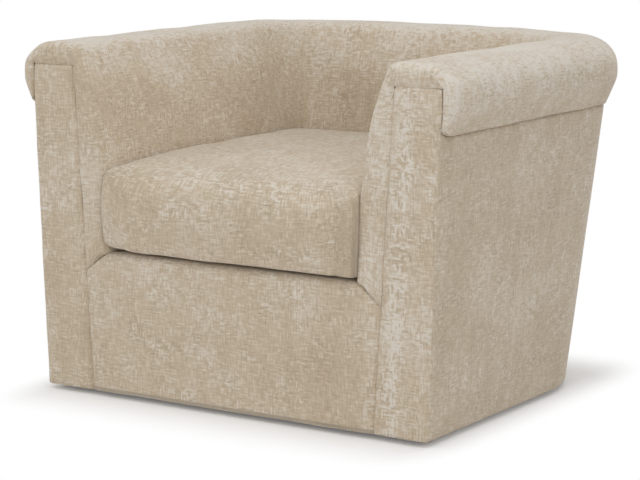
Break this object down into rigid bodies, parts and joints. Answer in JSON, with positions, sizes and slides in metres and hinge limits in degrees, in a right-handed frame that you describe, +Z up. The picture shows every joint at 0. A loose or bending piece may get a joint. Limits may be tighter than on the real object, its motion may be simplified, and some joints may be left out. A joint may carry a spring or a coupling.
{
  "type": "swivel tub chair",
  "caption": "Upholstered swivel tub chair with a rolled rim, flared walls, seamed arm fronts and a loose crowned seat cushion on a hidden turntable base.",
  "frame": {"origin": "on the floor under the middle of the chair's box, on the turning axis", "axes": "+Z up along the turning axis, -Y the way the sitter faces, +X to the right of someone facing the chair"},
  "size_m": [0.984, 0.888, 0.7],
  "materials": {
    "chenille_cloth": "woven",
    "deck_cloth": "woven",
    "foam": "open cell",
    "webbing": "woven",
    "dust_cloth": "non-woven",
    "hardwood": "sawn",
    "plywood": "sanded",
    "fibreboard": "pressed",
    "zinc_steel": "zinc plated",
    "bearing_steel": "polished",
    "nylon": "moulded",
    "glide_plastic": "moulded"
  },
  "bodies": {
    "floor_base": {"floor_glides": "glide_plastic", "base_disc": "plywood", "swivel_lower_plate": "zinc_steel", "lower_plate_screws": "zinc_steel", "spindle": "zinc_steel"},
    "roller_ring": {"bearing_rollers": "bearing_steel", "roller_cage": "nylon"},
    "chair": {"arm_border_left": "chenille_cloth", "arm_border_right": "chenille_cloth", "arm_facing_left": "chenille_cloth", "arm_facing_right": "chenille_cloth", "arm_front_board_left": "plywood", "arm_front_board_right": "plywood", "arm_post_left": "hardwood", "arm_post_right": "hardwood", "arm_roll_left": "chenille_cloth", "arm_roll_right": "chenille_cloth", "arm_top_rail_left": "plywood", "arm_top_rail_right": "plywood", "back_bottom_rail": "plywood", "back_post_left": "hardwood", "back_post_right": "hardwood", "back_roll": "chenille_cloth", "back_seat_rail": "plywood", "back_top_rail": "plywood", "corner_blocks": "hardwood", "corner_post_left": "hardwood", "corner_post_right": "hardwood", "cross_rail_back": "hardwood", "cross_rail_front": "hardwood", "cross_straps": "webbing", "deck_pad": "deck_cloth", "dust_cover": "dust_cloth", "front_border": "chenille_cloth", "front_bottom_rail": "hardwood", "front_seat_rail": "hardwood", "inside_arm_pad_left": "chenille_cloth", "inside_arm_pad_right": "chenille_cloth", "inside_arm_panel_left": "fibreboard", "inside_arm_panel_right": "fibreboard", "inside_back_pad": "chenille_cloth", "inside_back_panel": "fibreboard", "long_straps": "webbing", "outside_back_panel": "chenille_cloth", "outside_panel_left": "chenille_cloth", "outside_panel_right": "chenille_cloth", "seat_legs": "hardwood", "side_bottom_rail_left": "plywood", "side_bottom_rail_right": "plywood", "side_seat_rail_left": "hardwood", "side_seat_rail_right": "hardwood", "spindle_bush": "nylon", "swivel_upper_plate": "zinc_steel", "upper_plate_screws": "zinc_steel"},
    "cushion": {"seat_cushion": "chenille_cloth", "cushion_core": "foam"}
  },
  "joints": [
    {"name": "seat_swivel", "type": "hinge", "parent": "floor_base", "child": "chair", "pos_m": [0, 0, 0], "axis": [0, 0, 1], "continuous": true},
    {"name": "cage_turn", "type": "hinge", "parent": "floor_base", "child": "roller_ring", "pos_m": [0, 0, 0], "axis": [0, 0, 1], "continuous": true},
    {"name": "cushion_lift", "type": "slide", "parent": "chair", "child": "cushion", "axis": [0, 0, 1], "range_m": [0, 0.25]}
  ],
  "couplings": [
    {"joint": "cage_turn", "follows": "seat_swivel", "ratio": 0.5}
  ]
}
